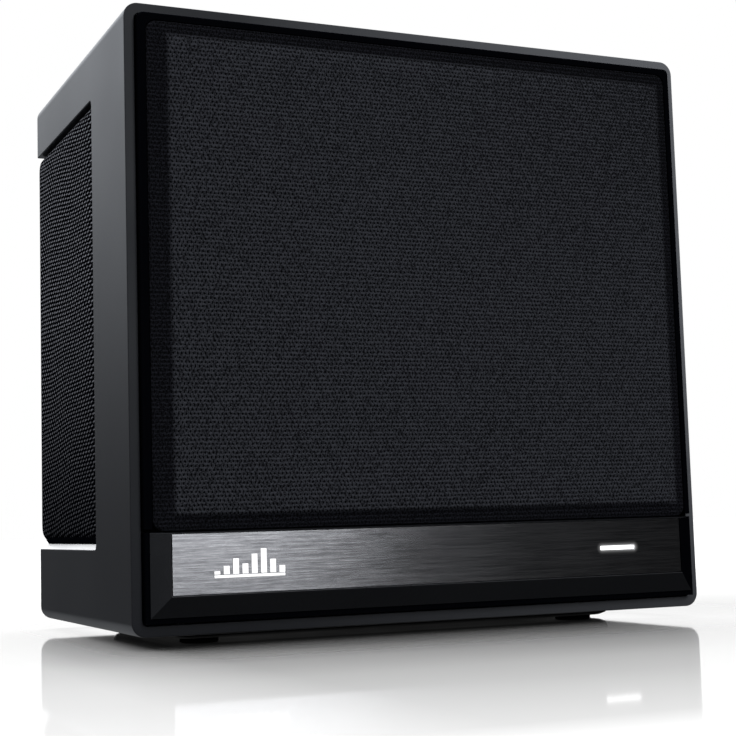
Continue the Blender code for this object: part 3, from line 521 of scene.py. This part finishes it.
def register(obj, body, stands_for):
    """Puts a piece on its body, and hides the CAD nodes it stands for."""
    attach(obj, body)
    if stands_for:
        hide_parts(*stands_for)


def piece(name, bm, look, body=ROOT, stands_for=(), width=0.3):
    made = raw(name, bm, look)
    if width is not None:
        soften(made, width)
    register(made, body, stands_for)
    return made


def dress(node, look):
    """A CAD node whose shape is right: a better material, welded faces and rounded edges."""
    obj = NODES[node]
    for slot in obj.material_slots:
        slot.material = LOOKS[look]
    obj.modifiers.new("weld", "WELD").merge_threshold = 0.000005
    round_edges(obj, 0.25, 2, 34)
    obj.modifiers.new("shade", "WEIGHTED_NORMAL").keep_sharp = False


# ---------------------------------------------------------------- sleeve

def build_sleeve():
    """Rounded tube, open at the front and the back, with a window cut through each side and its back edge."""
    outer_x, outer_z = span(HALF_WIDTH), (SHELL_BOTTOM, SHELL_TOP)
    inner_x, inner_z = grow(outer_x, -WALL), grow(outer_z, -WALL)
    rings = [
        rect("Y", RIM, outer_x, outer_z, OUTER_RADIUS, 14), rect("Y", BACK, outer_x, outer_z, OUTER_RADIUS, 14),
        rect("Y", BACK, inner_x, inner_z, INNER_RADIUS, 14), rect("Y", RIM, inner_x, inner_z, INNER_RADIUS, 14),
    ]
    shell = raw("sleeve", loft(rings, True), "sleeve")
    for look in ("rim", "underside"):
        shell.data.materials.append(LOOKS[look])
    rim_slot, belly_slot = 1, 2
    for side, _ in SIDES:
        levels = sorted((side * 153.0, side * 142.0))
        window = [rect("X", x, (WINDOW_FRONT, 130.0), (WINDOW_BOTTOM, WINDOW_TOP), 3.0, 10) for x in levels]
        carve(shell, loft(window))
    for face in shell.data.polygons:
        at_rim = face.center.y < (RIM + 0.5) * MM or face.center.y > (BACK - 0.5) * MM
        if abs(face.normal.y) > 0.9 and at_rim:
            face.material_index = rim_slot
        elif face.normal.z < -0.98 and face.center.z < (SHELL_BOTTOM + 0.1) * MM:
            face.material_index = belly_slot
    soften(shell, 0.45)
    register(shell, ROOT, ("outer_sleeve",))


# ---------------------------------------------------------------- cloth

def build_front_cloth():
    """Cloth over the panel: a nearly flat border, a soft step up to the field, and the turn into the frame's groove."""
    x, z = span(CLOTH_HALF), (SHELL_BOTTOM + 46.4, SHELL_TOP - 9.1)
    # The border's width at the sides, at the bottom and at the top. Each stop is a share of it, and a depth.
    field_inset = (9.9, 7.0, 6.3)
    stops = [(0.0, -92.2), (0.0, -92.9), (0.0, -93.5)]
    for step in range(1, 7):
        turn = step / 6 * math.pi / 2
        stops.append((0.11 * (1 - math.cos(turn)), -93.5 - 1.15 * math.sin(turn)))
    for step in range(1, 6):
        stops.append((0.11 + 0.71 * step / 5, -94.65 - 0.2 * step / 5))
    for step in range(1, 9):
        t = step / 8
        stops.append((0.82 + 0.22 * t, -94.85 - 0.8 * t * t * (3 - 2 * t)))
    outer = []
    for share, level in stops:
        side, low, high = (value * share for value in field_inset)
        outer.append(rect("Y", level, grow(x, -side), (z[0] + low, z[1] - high), 5.0 - 1.2 * share, 6))
    side, low, high = (value * 1.04 for value in field_inset)
    for step in range(1, 13):
        t = step / 12.4
        reach = t * 100.0
        crown = 0.08 * math.sin(t * math.pi / 2)
        field_z = (z[0] + low + reach, z[1] - high - reach)
        outer.append(rect("Y", -95.65 - crown, grow(x, -side - reach), field_z, max(0.8, 3.8 * (1 - t)), 6))
    inner = [[shrink_towards(point) for point in ring] for ring in outer]
    knit = loft(outer[::-1] + inner)
    cloth = piece("front_cloth_knit", knit, "front_knit", "front_grille", ("front_cloth",), None)
    smooth(cloth)


def shrink_towards(point):
    """The back of the cloth: its own thickness behind its face and inside its edge."""
    x, y, z = point
    middle, thick = CLOTH_MIDDLE * MM, CLOTH_THICK * MM
    narrower, lower = 1 - CLOTH_THICK / CLOTH_HALF, 1 - CLOTH_THICK / CLOTH_HALF_HEIGHT
    return (x * narrower, y + thick, middle + (z - middle) * lower)


def build_sill(side, word):
    """The window's lower edge slopes up and in to the cloth, and catches the light."""
    sill = []
    for y in (WINDOW_FRONT + 0.05, WINDOW_FRONT + 1.2, BACK - 0.3):
        drop = 1.4 if y < WINDOW_FRONT + 1 else 0.0
        corners = ((149.9, -0.1 + drop), (149.75, 0.1 + drop), (145.0, 3.45 + drop * 0.4), (144.2, 3.45), (144.2, -0.1))
        sill.append([at("Y", y, side * x, WINDOW_BOTTOM + z) for x, z in corners])
    piece(f"window_sill_{word}", loft(sill), "sill", width=0.1)


def build_side_cloth(side, word):
    front, low, high = WINDOW_FRONT + 0.6, WINDOW_BOTTOM + 0.6, WINDOW_TOP - 0.6
    # Distance out from the middle, inset at the front, at the back and at both ends, and corner radius.
    crown = (
        (139.0, 0.0, 0.4, 0.0, 2.4), (143.4, 0.0, 0.4, 0.0, 2.4), (144.4, 0.0, 0.4, 0.0, 2.4),
        (146.6, 0.2, 0.45, 0.2, 2.5), (147.5, 0.9, 0.6, 0.9, 2.6), (148.3, 2.0, 0.8, 2.0, 2.8),
        (148.9, 3.6, 1.2, 3.0, 3.0), (149.25, 5.6, 1.7, 4.2, 3.2), (149.5, 8.4, 2.6, 6.4, 3.4),
        (149.62, 12.0, 4.4, 10.0, 3.6), (149.7, 20.0, 10.0, 20.0, 4.0), (149.74, 36.0, 24.0, 40.0, 4.0),
        (149.76, 50.0, 50.0, 70.0, 4.0), (149.77, 60.0, 60.0, 100.0, 2.0),
    )
    outer, inner = [], []
    for level, at_front, at_back, at_end, radius in crown:
        past_sill = level > SILL_INSIDE
        y = (front + at_front, BACK - at_back)
        z = (low + at_end + (SILL_LIFT if past_sill else 0.0), high - at_end)
        outer.append(rect("X", side * level, y, z, radius, 6))
        under = side * (level - (CLOTH_THICK if past_sill else 0.0))
        inner.append(rect("X", under, grow(y, -CLOTH_THICK), grow(z, -CLOTH_THICK), max(radius - 0.3, 0.5), 6))
    name, knit = f"side_cloth_knit_{word}", loft(outer[::-1] + inner)
    cloth = piece(name, knit, "side_knit", ROOT, (f"side_cloth_{word}",), None)
    smooth(cloth)


# ---------------------------------------------------------------- front trim

def build_trim():
    outer_x, outer_z = span(142.7), (SHELL_BOTTOM + 8.3, SHELL_BOTTOM + 45.9)
    flange_x, flange_z = span(144.2), (SHELL_BOTTOM + WALL + 0.9, SHELL_BOTTOM + 46.1)
    seat_x, seat_z = span(PLATE_HALF + 0.3), (PLATE_BOTTOM - 0.3, PLATE_TOP + 0.3)
    lip_x, lip_z = grow(seat_x, 0.2), (seat_z[0] - 0.2, seat_z[1] + 0.1)
    hollow_x, hollow_z = grow(flange_x, -2.2), grow(flange_z, -2.2)
    rings = [rect("Y", *ring) for ring in (
        (-97.4, seat_x, seat_z), (-99.3, seat_x, seat_z), (-99.5, lip_x, lip_z),
        (-94.7, outer_x, outer_z), (-94.0, outer_x, outer_z), (-94.0, flange_x, flange_z),
        (-84.3, flange_x, flange_z), (-84.3, hollow_x, hollow_z),
        (-91.8, hollow_x, hollow_z), (-95.2, grow(seat_x, -1.0), grow(seat_z, -1.0)),
    )]
    moulding = raw("trim_bevel", loft(rings), "bevel")
    moulding.data.materials.append(LOOKS["band"])
    carve(moulding, loft([rect("Y", y, span(10.6, LIGHT_X), span(1.8, LIGHT_Z), 1.2) for y in (-100, -90)]))
    bevel_back, bevel_right = -94.6 * MM, (PLATE_HALF + 0.3) * MM
    for face in moulding.data.polygons:
        face.material_index = int(face.center.y > bevel_back or face.center.x > bevel_right)
    soften(moulding, 0.12, 2, 20)
    register(moulding, ROOT, ("trim_moulding",))

    face = [rect("Y", y, span(PLATE_HALF), (PLATE_BOTTOM, PLATE_TOP), 0.35, 3) for y in (-97.7, -99.2)]
    plate = raw("trim_plate_brushed", loft(face), "plate")
    carve(plate, loft([rect("Y", y, span(10.2, LIGHT_X), span(1.5, LIGHT_Z), 1.2) for y in (-104, -90)]))
    soften(plate, 0.2)
    register(plate, ROOT, ("trim_plate",))

    lens = [rect("Y", level, span(wide, LIGHT_X), span(tall, LIGHT_Z), radius) for level, wide, tall, radius in (
        (-99.35, 9.3, 0.75, 0.7), (-99.2, 9.7, 1.1, 1.0), (-94.9, 9.8, 1.2, 1.1),
        (-94.9, 12.4, 3.4, 1.1), (-93.3, 12.4, 3.4, 1.1),
    )]
    piece("light_bar_lens", loft(lens), "lamp", ROOT, ("status_light_lens",), 0.1)

    start, foot = EMBLEM_X - 16.7, LIGHT_Z - 6.5
    bars = [box((start, -100.0, foot), (EMBLEM_X + 16.7, -99.25, foot + 1.2))]
    for step, height in enumerate((3.0, 5.2, 8.4, 6.0, 10.2, 12.4, 7.6, 4.6)):
        left = start + step * 4.4
        bars.append(box((left, -100.0, foot + 1.6), (left + 2.6, -99.25, foot + height)))
    piece("level_bars", merge(bars), "mark", ROOT, ("emblem",), 0.12)


# ---------------------------------------------------------------- surrounds and spider

def cross_joint(obj, start, end, weight):
    """Bakes a ring's placement into its mesh. weight(x, y, z) in millimetres is 0 to 1; it is worked out for each
    vertex and left unused, so the ring does not flex.
    """
    [v * MM for v in start]
    [v * MM for v in end]
    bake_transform(obj)
    for vertex in obj.data.vertices:
        t = min(1.0, max(0.0, weight(*(c / MM for c in vertex.co))))


def woofer_ring(name, profile, look, stands_for, outer, inner):
    ring = raw(name, turned("Y", (0, WOOFER_Z), profile, True, 96), look)
    smooth(ring)
    start, end = (outer, profile[0][1], WOOFER_Z), (inner, profile[0][1], WOOFER_Z)
    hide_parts(stands_for)

    def weight(x, _, z):
        return (outer - math.hypot(x, z - WOOFER_Z)) / (outer - inner)

    cross_joint(ring, start, end, weight)


def build_woofer_rings():
    """The woofer's surround, a half roll low enough to clear the front grille, and its spider, a rippled disc."""
    turns = [math.pi * step / 20 for step in range(1, 20)]
    roll = [(103.5, -83.8), (103.5, -84.8), (92.8, -84.8)]
    roll += [(85 + 7.8 * math.cos(turn), -84.8 - WOOFER_ROLL * math.sin(turn)) for turn in turns]
    roll += [(77.2, -84.8), (74.6, -84.3), (72, -83.9), (72, -83.0), (74.6, -83.4), (77.6, -83.8)]
    roll += [(85 + 6.9 * math.cos(turn), -83.8 - WOOFER_ROLL * math.sin(turn)) for turn in reversed(turns)]
    roll.append((92.2, -83.8))
    woofer_ring("woofer_surround_roll", roll, "rubber", "woofer_surround", 93.0, 77.0)
    front, rear, last = [], [], 54
    for step in range(last + 1):
        radius = 25.7 + 24.3 * step / last
        wave = 1.1 * math.cos(math.pi * step / 6) * min(1.0, step / 3, (last - step) / 3)
        front.append((radius, -46.3 + wave - 0.3))
        rear.append((radius, -46.3 + wave + 0.3))
    woofer_ring("woofer_spider_web", front + rear[::-1], "resin", "woofer_spider", 48.5, 27.5)


def build_radiator_roll(side, word):
    """The radiator's surround: a half roll round a long plate with rounded corners."""
    def race(level, offset):
        y, z = span(offset, RADIATOR_Y), span(offset + RADIATOR_STRAIGHT, RADIATOR_Z)
        return rect("X", side * level, y, z, offset - RADIATOR_CORNER, 12)

    rings = [race(131.6, 49), race(132.5, 49)]
    for step in range(15):
        turn = math.pi * step / 14
        rings.append(race(132.5 + RADIATOR_ROLL * math.sin(turn), 38.5 + 6.5 * math.cos(turn)))
    rings += [race(132.5, 27), race(131.6, 27)]
    for step in range(14, -1, -1):
        turn = math.pi * step / 14
        rings.append(race(131.6 + RADIATOR_ROLL * math.sin(turn), 38.5 + 5.6 * math.cos(turn)))
    roll = raw(f"radiator_roll_{word}", loft(rings, True), "rubber")
    smooth(roll)
    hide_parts(f"radiator_surround_{word}")

    def weight(_, y, z):
        past_y = max(abs(y - RADIATOR_Y) - RADIATOR_CORNER, 0.0)
        past_z = max(abs(z - RADIATOR_Z) - RADIATOR_STRAIGHT - RADIATOR_CORNER, 0.0)
        return (36.5 - math.hypot(past_y, past_z)) / 13.5

    start, end = (side * 132, RADIATOR_Y + 45, RADIATOR_Z), (side * 132, RADIATOR_Y + 32, RADIATOR_Z)
    cross_joint(roll, start, end, weight)


# ---------------------------------------------------------------- small parts at the back

def pose(bm, place, turn, axis):
    """Turns a shape about one axis through the origin, then moves it to a place in millimetres."""
    matrix = Matrix.Translation([v * MM for v in place]) @ Matrix.Rotation(turn, 4, axis)
    bmesh.ops.transform(bm, matrix=matrix, verts=bm.verts)
    return bm


def build_controls():
    """Eleven ticks round the level knob, its pointer, the pins and insulators of the sockets, marks and screw heads."""
    ticks = []
    for step in range(11):
        turn = math.radians(-240 + 30 * step)
        near, far = (12.2, 14.6) if step % 5 == 0 else (12.6, 14.0)
        ticks.append(pose(box((near, 84.32, -0.28), (far, 84.46, 0.28)), (KNOB_X, 0, KNOB_Z), turn, "Y"))
    piece("level_scale", merge(ticks), "white", width=0.05)
    pointer = box((KNOB_X - 0.32, 97.45, KNOB_Z + 2.6), (KNOB_X + 0.32, 98.02, KNOB_Z + 6.9))
    piece("level_pointer", pointer, "white", "level_knob", width=0.05)

    pin = [(0.9, 86.7), (1.32, 86.7), (1.32, 95.6), (1.0, 96.5), (0.3, 96.7)]
    pins = [turned("Y", (x, 84), pin, count=24) for x in (-49.3, -40.7)]
    piece("inlet_pins", merge(pins), "steel", width=0.05)
    ring = [(1.9, 97.2), (3.45, 97.2), (3.45, 97.62), (3.3, 97.72), (2.05, 97.72), (1.9, 97.62)]
    for word, x, look in (("left", 30, "white"), ("right", 52, "red")):
        piece(f"line_in_insulator_{word}", turned("Y", (x, 88), ring, True, 32), look, width=None)

    off = turned("Y", (0, 0), [(1.2, -0.25), (1.7, -0.25), (1.7, 0.12), (1.2, 0.12)], True, 28)
    on = box((-0.3, -0.25, -1.9), (0.3, 0.12, 1.9))
    slope = math.atan2(1.4, 7.2)  # the rocker's face is a shallow V
    marks = merge([pose(off, (4.6, 6.09, 0), slope, "Z"), pose(on, (-4.6, 6.09, 0), -slope, "Z")])
    pose(marks, (ROCKER_X, ROCKER_Y, ROCKER_Z), math.radians(ROCKER_LEAN), "Z")
    piece("rocker_marks", marks, "white", "power_rocker", width=None)

    head = [(0.4, 98.75), (1.4, 98.68), (2.5, 98.35), (3.2, 97.75), (3.4, 97.2), (3.4, 96.6), (0.9, 96.6)]
    for number, (x, z) in enumerate(((-80, 58), (-80, 256), (80, 58), (80, 256)), 1):
        screw = raw(f"amplifier_screw_head_{number}", turned("Y", (x, z), head, count=36), "steel")
        for wide, tall in ((1.9, 0.35), (0.35, 1.9)):
            carve(screw, box((x - wide, 97.9, z - tall), (x + wide, 99.5, z + tall)))
        soften(screw, 0.06, 2)
        register(screw, ROOT, (f"amplifier_screw_{number}",))


# ---------------------------------------------------------------- lights, floor, camera

def area(name, place, aim, size, power):
    data = bpy.data.lights.new(name, "AREA")
    data.shape, data.size, data.size_y = "RECTANGLE", *size
    data.energy = power
    made = bpy.data.objects.new(name, data)
    made.location = place
    made.rotation_mode = "QUATERNION"
    made.rotation_quaternion = (Vector(aim) - Vector(place)).to_track_quat("-Z", "Y")
    show(made)


def build_world():
    """Soft sky that brightens overhead, with a white backdrop behind the subject; the camera sees plain white."""
    world = bpy.data.worlds.new("studio")
    bpy.context.scene.world = world
    world.use_nodes = True
    graph = Graph(world.node_tree)

    def ramp(*limits):
        return graph.ramp(*limits, interpolation_type="SMOOTHSTEP")

    x, y, z = graph.split(graph.node("ShaderNodeTexCoord").outputs["Generated"])
    turn = graph.math("ARCTAN2", x, y)
    sky = graph.times(
        ramp(z, SKY_LOW, SKY_HIGH, 0.0, 0.8), ramp(y, SKY_FRONT, 1.0, -0.55, 0.25), ramp(x, 1.0, 0.35, 0.1, 0.8),
    )
    backdrop = graph.times(
        ramp(turn, 0.0, 1.0, -0.04, 0.02), ramp(turn, 1.0, 0.0, 0.75, 1.0),
        ramp(z, 0.0, 1.0, -0.02, 0.0), ramp(z, 1.0, 0.0, 0.35, 0.6),
    )
    below = graph.times(ramp(z, BELOW, 0.0, -0.2, -0.1), ramp(y, 0.0, 1.0, 0.1, 0.5))
    nodes, white = world.node_tree.nodes, (1.0, 1.0, 1.0)
    background = nodes["Background"]
    graph.plug(background.inputs["Color"], white)
    graph.plug(background.inputs["Strength"], graph.fold("MAXIMUM", sky, below, backdrop))
    bright = graph.node("ShaderNodeBackground", {"Color": white})
    seen = graph.node("ShaderNodeLightPath").outputs["Is Camera Ray"]
    mix = graph.node("ShaderNodeMixShader", {0: seen, 1: background.outputs[0], 2: bright.outputs[0]})
    graph.plug(nodes["World Output"].inputs[0], mix.outputs[0])


def build_floor():
    """White floor, polished near the subject so that its reflection fades with distance."""
    look = Look("studio_floor", Roughness=1.0, Specular_IOR_Level=0.0)
    cloud = look.noise(6.0, 2.0)
    x, y, _ = look.split(look.place)
    past = [look.minus(look.gap(value), half * MM) for value, half in ((x, HALF_WIDTH), (y, HALF_DEPTH))]
    outside = look.length(*[look.math("MAXIMUM", value, 0.0) for value in past])
    inside = look.math("MINIMUM", look.math("MAXIMUM", *past), 0.0)
    away = look.plus(outside, inside)
    # Painted shade: the floor's colour is darker within 0.3 m of the subject than beyond 0.6 m.
    near = look.blend(cloud, (0.63, 0.63, 0.63), (0.65, 0.65, 0.65))
    far = look.blend(cloud, (0.78, 0.78, 0.78), (0.80, 0.80, 0.80))
    look.set("Base Color", look.blend(look.ramp(away, 0.0, 1.0, 0.30, 0.60), near, far))
    ramp = look.node("ShaderNodeValToRGB", {"Fac": look.ramp(away, 0.0, 1.0, SHINE_START, SHINE_END)})
    elements = ramp.color_ramp.elements
    elements[0].position, elements[1].position = 0.02, 1.0
    elements[0].color, elements[1].color = (0.985, 0.985, 0.985, 1.0), (0.0, 0.0, 0.0, 1.0)
    for distance, level in SHINE:
        elements.new((distance - SHINE_START) / (SHINE_END - SHINE_START)).color = (level, level, level, 1.0)
    shine = look.times(ramp.outputs["Color"], look.ramp(x, 0.58, 1.0, -0.20, -0.13))
    mirror = look.node("ShaderNodeBsdfGlossy", {"Roughness": 0.05, "Color": (1.0, 1.0, 1.0)}).outputs[0]
    mix = look.node("ShaderNodeMixShader", {0: shine, 1: look.shader.outputs[0], 2: mirror}).outputs[0]
    look.plug(look.tree.nodes["Material Output"].inputs[0], mix)
    mesh = bpy.data.meshes.new("studio_floor")
    reach = 9.0
    corners = [(-reach, -reach, 0), (reach, -reach, 0), (reach, reach, 0), (-reach, reach, 0)]
    mesh.from_pydata(corners, [], [(0, 1, 2, 3)])
    mesh.materials.append(look.material)
    floor = bpy.data.objects.new("studio_floor", mesh)
    show(floor)
    floor.visible_glossy = floor.visible_diffuse = False


def build_studio():
    build_world()
    build_floor()
    area("front_right", (0.46, -2.3, 0.85), (0, 0, 0.12), (0.86, 1.6), 21)
    area("front_left", (-1.1, -2.2, 0.4), (0, 0, 0.1), (0.7, 0.9), 4.0)
    area("top_left", (-1.4, 0.6, 1.5), (-0.1, 0, 0.2), (0.9, 1.2), 10)


def build_camera():
    yaw, pitch, roll = (math.radians(angle) for angle in CAMERA_TURN)
    forward = Vector((math.sin(yaw) * math.cos(pitch), math.cos(yaw) * math.cos(pitch), math.sin(pitch)))
    right = Vector((math.cos(yaw), -math.sin(yaw), 0.0))
    up = right.cross(forward)
    right_rolled = math.cos(roll) * right + math.sin(roll) * up
    up_rolled = -math.sin(roll) * right + math.cos(roll) * up
    data = bpy.data.cameras.new("camera")
    data.lens, data.sensor_width = CAMERA_LENS, 36.0
    data.clip_start, data.clip_end = 0.01, 50.0
    camera = bpy.data.objects.new("camera", data)
    turn = Matrix((right_rolled, up_rolled, -forward)).transposed().to_4x4()
    camera.matrix_world = Matrix.Translation(CAMERA_PLACE) @ turn
    show(camera)
    bpy.context.scene.camera = camera
    bpy.context.scene.view_settings.view_transform = "Standard"


DRESSED = {
    "fibre": ("cabinet",),
    "painted": ("front_baffle", "base_plinth"),
    "plastic": (
        "back_panel", "woofer_terminal_strip", "control_board", "mains_inlet", "switch_housing", "level_knob",
        "phase_switch",
    ),
    "band": (
        "front_grille_frame", "side_grille_left", "side_grille_right", "foot_pad_1", "foot_pad_2", "foot_pad_3",
        "foot_pad_4",
    ),
    "board": ("status_light_board", "amplifier_board", "wireless_board"),
    "stove": ("woofer_basket", "radiator_frame_left", "radiator_frame_right"),
    "rubber": ("woofer_gasket", "woofer_lead_1", "woofer_lead_2", "status_light_cable"),
    "paper": ("woofer_cone", "woofer_dust_cap", "radiator_plate_left", "radiator_plate_right"),
    "copper": ("woofer_voice_coil",),
    "steel": ("woofer_top_plate", "woofer_yoke"),
    "ferrite": ("woofer_magnet", "mains_transformer"),
    "powder": ("amplifier_plate",),
    "aluminium": ("heat_sink",),
    "gloss": ("reservoir_capacitor_1", "reservoir_capacitor_2", "power_rocker", "pairing_button"),
    "gold": ("line_in_left", "line_in_right"),
}


build_camera()
build_sleeve()
build_front_cloth()
for place, word in SIDES:
    build_side_cloth(place, word)
    build_sill(place, word)
build_trim()
build_woofer_rings()
for place, word in SIDES:
    build_radiator_roll(place, word)
build_controls()
for look, nodes in DRESSED.items():
    for node in nodes:
        dress(node, look)
build_studio()
